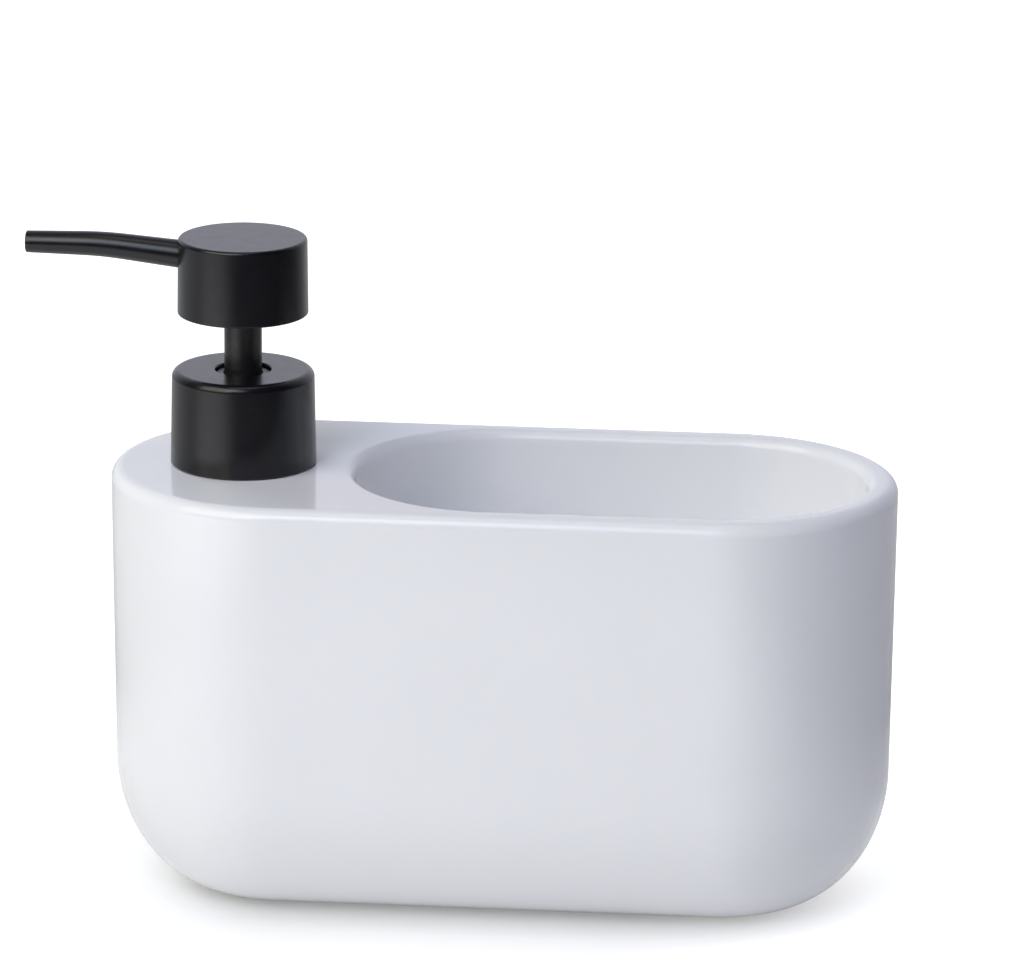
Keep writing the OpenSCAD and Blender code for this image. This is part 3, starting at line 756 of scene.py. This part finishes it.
def bare_clay():
    """Fired clay without glaze, finely gritty"""
    return finish_with(
        "bare clay",
        {"Colour": rgb(0.78, 0.76, 0.72), "Shade": rgb(0.66, 0.63, 0.58),
         "Amount": 0.6, "Size": 0.0012},
        {"Roughness": 0.85, "Spread": 0.06, "Size": 0.002},
        {"Ripple Size": 0.003, "Ripple Height": 2e-5, "Grain Size": 0.0004, "Grain Height": 2e-5},
        {"IOR": 1.5})


def black_coat():
    """Satin black coat on metal, with a fine orange peel"""
    return finish_with(
        "black coat",
        {"Colour": rgb(0.0055, 0.0055, 0.0075), "Shade": rgb(0.0075, 0.0075, 0.0105),
         "Amount": 0.5, "Size": 0.004},
        {"Roughness": 0.25, "Spread": 0.02, "Size": 0.003},
        {"Ripple Size": 0.0022, "Ripple Height": 8e-7,
         "Grain Size": 0.0004, "Grain Height": 1.5e-7},
        {"IOR": 1.48})


def black_plastic():
    """Moulded black plastic, a little duller than the coat"""
    return finish_with(
        "black plastic",
        {"Colour": rgb(0.012, 0.012, 0.013), "Shade": rgb(0.019, 0.019, 0.02),
         "Amount": 0.6, "Size": 0.003},
        {"Roughness": 0.33, "Spread": 0.05, "Size": 0.002},
        {"Ripple Size": 0.003, "Ripple Height": 1.5e-6,
         "Grain Size": 0.00025, "Grain Height": 1.2e-6},
        {"IOR": 1.49})


def natural_plastic():
    """Undyed milky plastic that lets some light through"""
    return finish_with(
        "natural plastic",
        {"Colour": rgb(0.82, 0.825, 0.8), "Shade": rgb(0.74, 0.75, 0.72),
         "Amount": 0.4, "Size": 0.006},
        {"Roughness": 0.32, "Spread": 0.06, "Size": 0.003},
        {"Ripple Size": 0.004, "Ripple Height": 3e-6, "Grain Size": 0.0003, "Grain Height": 8e-7},
        {"IOR": 1.49, "Subsurface Weight": 0.35, "Subsurface Radius": (1.0, 1.0, 1.0),
         "Subsurface Scale": 0.0012})


def piston_plastic():
    """Soft white plastic with a waxy look"""
    return finish_with(
        "piston plastic",
        {"Colour": rgb(0.85, 0.85, 0.86), "Shade": rgb(0.78, 0.78, 0.79),
         "Amount": 0.4, "Size": 0.003},
        {"Roughness": 0.42, "Spread": 0.05, "Size": 0.002},
        {"Ripple Size": 0.003, "Ripple Height": 3e-6, "Grain Size": 0.0003, "Grain Height": 1e-6},
        {"IOR": 1.51})


def seal_rubber():
    """Pale silicone rubber, matt with a dusty bloom"""
    return finish_with(
        "seal rubber",
        {"Colour": rgb(0.6, 0.6, 0.6), "Shade": rgb(0.68, 0.68, 0.67),
         "Amount": 0.5, "Size": 0.002},
        {"Roughness": 0.62, "Spread": 0.08, "Size": 0.001},
        {"Ripple Size": 0.002, "Ripple Height": 4e-6, "Grain Size": 0.0002, "Grain Height": 2e-6},
        {"IOR": 1.41, "Sheen Weight": 0.15})


def spring_steel():
    """Bright drawn wire with faint die marks"""
    return finish_with(
        "spring steel",
        {"Colour": rgb(0.62, 0.62, 0.64), "Shade": rgb(0.5, 0.5, 0.53),
         "Amount": 0.5, "Size": 0.0008},
        {"Roughness": 0.22, "Spread": 0.08, "Size": 0.0006},
        {"Ripple Size": 0.0008, "Ripple Height": 1.5e-6,
         "Grain Size": 0.0001, "Grain Height": 8e-7},
        {"Metallic": 1.0})


def ball_glass():
    """Clear pale glass of the valve balls"""
    return finish_with(
        "ball glass",
        {"Colour": rgb(0.86, 0.93, 0.91), "Shade": rgb(0.8, 0.9, 0.87),
         "Amount": 0.4, "Size": 0.002},
        {"Roughness": 0.05, "Spread": 0.02, "Size": 0.001},
        {"Ripple Size": 0.002, "Ripple Height": 1e-6, "Grain Size": 0.0003, "Grain Height": 2e-7},
        {"IOR": 1.52, "Transmission Weight": 0.9})


FINISHES = {maker.__name__: maker() for maker in (
    glaze, bare_clay, black_coat, black_plastic, natural_plastic, piston_plastic,
    seal_rubber, spring_steel, ball_glass)}


def dress(piece, slot, body, *replaced):
    """Gives a piece its finish and its body, and hides the nodes that it stands for"""
    piece.data.materials.clear()
    piece.data.materials.append(FINISHES[slot])
    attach(piece, body)
    if replaced:
        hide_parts(*replaced)


def dress_frame():
    """The frame's own nodes take the finish of their slot"""
    for part in frame["record"]["subparts"]:
        materials = frame["nodes"][part["node"]].data.materials
        materials.clear()
        materials.append(FINISHES[part["material_slot"]])


# Studio

def seen_from(azimuth, elevation):
    """Direction from the object, where azimuth 0 is the front and 90 the right"""
    a = math.radians(azimuth)
    e = math.radians(elevation)
    return Vector((math.sin(a)*math.cos(e), -math.cos(a)*math.cos(e), math.sin(e)))


def camera():
    """The photograph's view: a long lens, a little from the right and above"""
    azimuth = 5.27
    elevation = 16.2
    roll = math.radians(0.43)
    distance = 1.502
    focal_pixels = 6584
    picture_w = 1024
    target = Vector((1.9*MM, 0, 95.5*MM))
    back = seen_from(azimuth, elevation)
    level = seen_from(azimuth + 90, 0)
    upright = back.cross(level)
    right = level*math.cos(roll) + upright*math.sin(roll)
    up = upright*math.cos(roll) - level*math.sin(roll)
    lens = bpy.data.cameras.new("camera")
    lens.sensor_width = 36
    lens.lens = focal_pixels*lens.sensor_width/picture_w
    lens.clip_end = 20
    seer = add_object("camera", lens)
    place = Matrix((right, up, back)).transposed().to_4x4()
    place.translation = target + back*distance
    seer.matrix_world = place
    bpy.context.scene.camera = seer


def white_rays(tree, glossy_share):
    """1 for the rays that see the white background, a share for gloss, and the kinds of ray"""
    kinds = add_node(tree, "ShaderNodeLightPath").outputs
    glossy = calculate(tree, "MULTIPLY", kinds["Is Glossy Ray"], glossy_share)
    direct = calculate(tree, "ADD", kinds["Is Camera Ray"], kinds["Is Transmission Ray"])
    return calculate(tree, "ADD", direct, glossy), kinds


def world():
    """A white background, which gloss sees less of towards the front, and a dim cool room"""
    room = bpy.data.worlds.new("studio")
    bpy.context.scene.world = room
    room.use_nodes = True
    tree = room.node_tree
    tree.nodes.clear()
    direction = add_node(tree, "ShaderNodeTexCoord").outputs["Generated"]
    backwards = add_node(tree, "ShaderNodeSeparateXYZ", {"Vector": direction}).outputs["Y"]
    fully_back = 0.95
    white, kinds = white_rays(tree, ramp(tree, backwards, 0.0, fully_back))
    cool = rgb(0.8, 0.88, 1.0)
    dim = 0.01
    ambient = add_node(tree, "ShaderNodeBackground", {"Color": cool, "Strength": dim})
    paper_white = rgb(1, 1, 1)
    glossy_white = rgb(0.88, 0.89, 1.02)
    tint = add_node(tree, "ShaderNodeMix", {"Factor": kinds["Is Glossy Ray"], "A": paper_white,
                                            "B": glossy_white}, data_type="RGBA")
    backdrop = add_node(tree, "ShaderNodeBackground", {"Color": tint.outputs["Result"],
                                                       "Strength": 1.0})
    mix = add_node(tree, "ShaderNodeMixShader", {"Fac": white, 1: ambient.outputs["Background"],
                                                 2: backdrop.outputs["Background"]})
    add_node(tree, "ShaderNodeOutputWorld", {"Surface": mix.outputs["Shader"]})


def apart_from(tree, position, spot):
    """Distance of a point of the floor from a spot"""
    return add_node(tree, "ShaderNodeVectorMath", {0: position, 1: spot},
                    operation="DISTANCE").outputs["Value"]


def painted_gloss_light(tree, position, x, y):
    """How light the paper looks in the gloss: painted pools of light under the key and in front,
    and painted light towards the back left, seen as painted reflections
    """
    # Spot of each painted pool of light, the radii between which it fades, and its light
    painted_pool_values = (((-0.38, -0.33, 0), 0.14, 0.34, 0.95), ((-0.03, -0.08, 0), 0.18, 0.3, 0.6))
    painted_pools = [ramp(tree, apart_from(tree, position, Vector(spot)), full_r, end_r, light, 0.0)
             for spot, full_r, end_r, light in painted_pool_values]
    left_share = -0.7
    leftwards = calculate(tree, "MULTIPLY", x, left_share)
    # Painted light on the paper towards the back left, seen only in gloss
    painted_back_left_light = ramp(tree, calculate(tree, "ADD", y, leftwards), -0.3, 0.4, 0.03, 0.36)
    return calculate(tree, "MAXIMUM", painted_back_left_light, calculate(tree, "MAXIMUM", *painted_pools))


def paper_light_with_painted_shadow(tree, position, x):
    """The paper's own light, with a painted contact shadow: least under the object, full away from
    it, and painted light at the right end that lifts the real shadow there
    """
    painted_shadow_half = end_x - 5*MM
    painted_shadow_in = 20*MM
    painted_shadow_out = 46*MM
    open_out = 150*MM
    end_in = 25*MM
    end_out = 88*MM
    along = add_node(tree, "ShaderNodeClamp", {"Value": x, "Min": -painted_shadow_half,
                                               "Max": painted_shadow_half}).outputs["Result"]
    line = add_node(tree, "ShaderNodeCombineXYZ", {"X": along}).outputs["Vector"]
    from_middle = apart_from(tree, position, line)
    # Painted contact shadow: the paper's own light rises with distance from the object's middle
    # line
    shadow = ramp(tree, from_middle, painted_shadow_in, painted_shadow_out, 0.28, 0.6, ease=True)
    open_paper = ramp(tree, from_middle, painted_shadow_out, open_out, 0.0, 0.4)
    # Painted light at the right end, which lifts the key's real shadow there
    painted_light_right_end = ramp(tree, x, end_in, end_out, 0.0, 0.24, ease=True)
    return calculate(tree, "ADD", painted_light_right_end, calculate(tree, "ADD", shadow, open_paper))


def floor():
    """White paper that keeps the real shadow and adds a painted contact shadow in its own light,
    which is seen but doesn't reach the object; gloss sees painted pools of light on it and painted
    dark paper elsewhere
    """
    half = 4.0
    paper = make_piece("floor", [(-half, -half, 0), (half, -half, 0), (half, half, 0),
                                 (-half, half, 0)], [(0, 1, 2, 3)])
    material = bpy.data.materials.new("white paper")
    material.use_nodes = True
    tree = material.node_tree
    tree.nodes.clear()
    position = add_node(tree, "ShaderNodeNewGeometry").outputs["Position"]
    split = add_node(tree, "ShaderNodeSeparateXYZ", {"Vector": position}).outputs
    # Share of painted light that the paper shows in the gloss
    mirrored = painted_gloss_light(tree, position, split["X"], split["Y"])
    white, kinds = white_rays(tree, mirrored)
    # The paper's own light, with its painted contact shadow
    own_light = calculate(tree, "MULTIPLY", white, paper_light_with_painted_shadow(tree, position, split["X"]))
    lift = add_node(tree, "ShaderNodeEmission", {"Color": rgb(1, 1, 1), "Strength": own_light})
    # The camera sees a darker paper, because its own light is added to it
    paper_albedo = 0.95
    seen_darker = 0.45
    albedo = calculate(tree, "SUBTRACT", paper_albedo,
                       calculate(tree, "MULTIPLY", kinds["Is Camera Ray"], seen_darker))
    # Outside the painted pools the paper is painted dark in the gloss, a painted shade for the
    # reflections
    painted_dark_in_gloss = calculate(tree, "MULTIPLY", kinds["Is Glossy Ray"],
                      calculate(tree, "SUBTRACT", 1.0, mirrored))
    shade = calculate(tree, "MULTIPLY", albedo, calculate(tree, "SUBTRACT", 1.0, painted_dark_in_gloss))
    matt = add_node(tree, "ShaderNodeBsdfDiffuse", {"Color": shade})
    both = add_node(tree, "ShaderNodeAddShader", {0: matt.outputs["BSDF"],
                                                  1: lift.outputs["Emission"]})
    add_node(tree, "ShaderNodeOutputMaterial", {"Surface": both.outputs["Shader"]})
    paper.data.materials.append(material)


def lamp(name, azimuth, elevation, side, power, tint, mirrored=True):
    """A square soft box that faces the object, and that gloss mirrors or not"""
    distance = 1.6
    away = seen_from(azimuth, elevation)
    light = bpy.data.lights.new(name, "AREA")
    light.shape = "SQUARE"
    light.size = side
    light.energy = power
    light.color = tint
    box = add_object(name, light)
    box.location = Vector((0, 0, body_top/2)) + away*distance
    box.visible_glossy = mirrored
    box.rotation_mode = "QUATERNION"
    box.rotation_quaternion = away.to_track_quat("Z", "Y")


def lamps():
    """A large warm key from the left front, with cool fills round the object"""
    lamp("key", -42, 38, 1.45, 17.7, (1.0, 0.94, 0.77))
    lamp("front_fill", -10, 37, 0.7, 4.9, (0.53, 0.69, 1.0))
    lamp("low_fill", -15, 4, 0.7, 1.2, (0.9, 0.92, 1.0), mirrored=False)
    lamp("high_fill", -35, 60, 0.7, 3.6, (0.48, 0.51, 1.0), mirrored=False)
    lamp("overhead", 0, 84, 0.7, 1.7, (0.97, 1.0, 0.94))
    lamp("back", 180, 10, 0.7, 4.5, (0.93, 0.95, 1.0), mirrored=False)
    lamp("left_back", -130, 30, 0.7, 5.3, (0.82, 0.94, 1.0), mirrored=False)
    lamp("right_back", 110, 20, 0.7, 4.5, (0.85, 0.83, 1.0), mirrored=False)


dress_frame()
ceramic_body()
neck_ring()
threaded_nut()
collar_shell()
head_shell()
nozzle()
return_spring()

floor()
world()
lamps()
camera()
bpy.context.scene.view_settings.view_transform = "Standard"
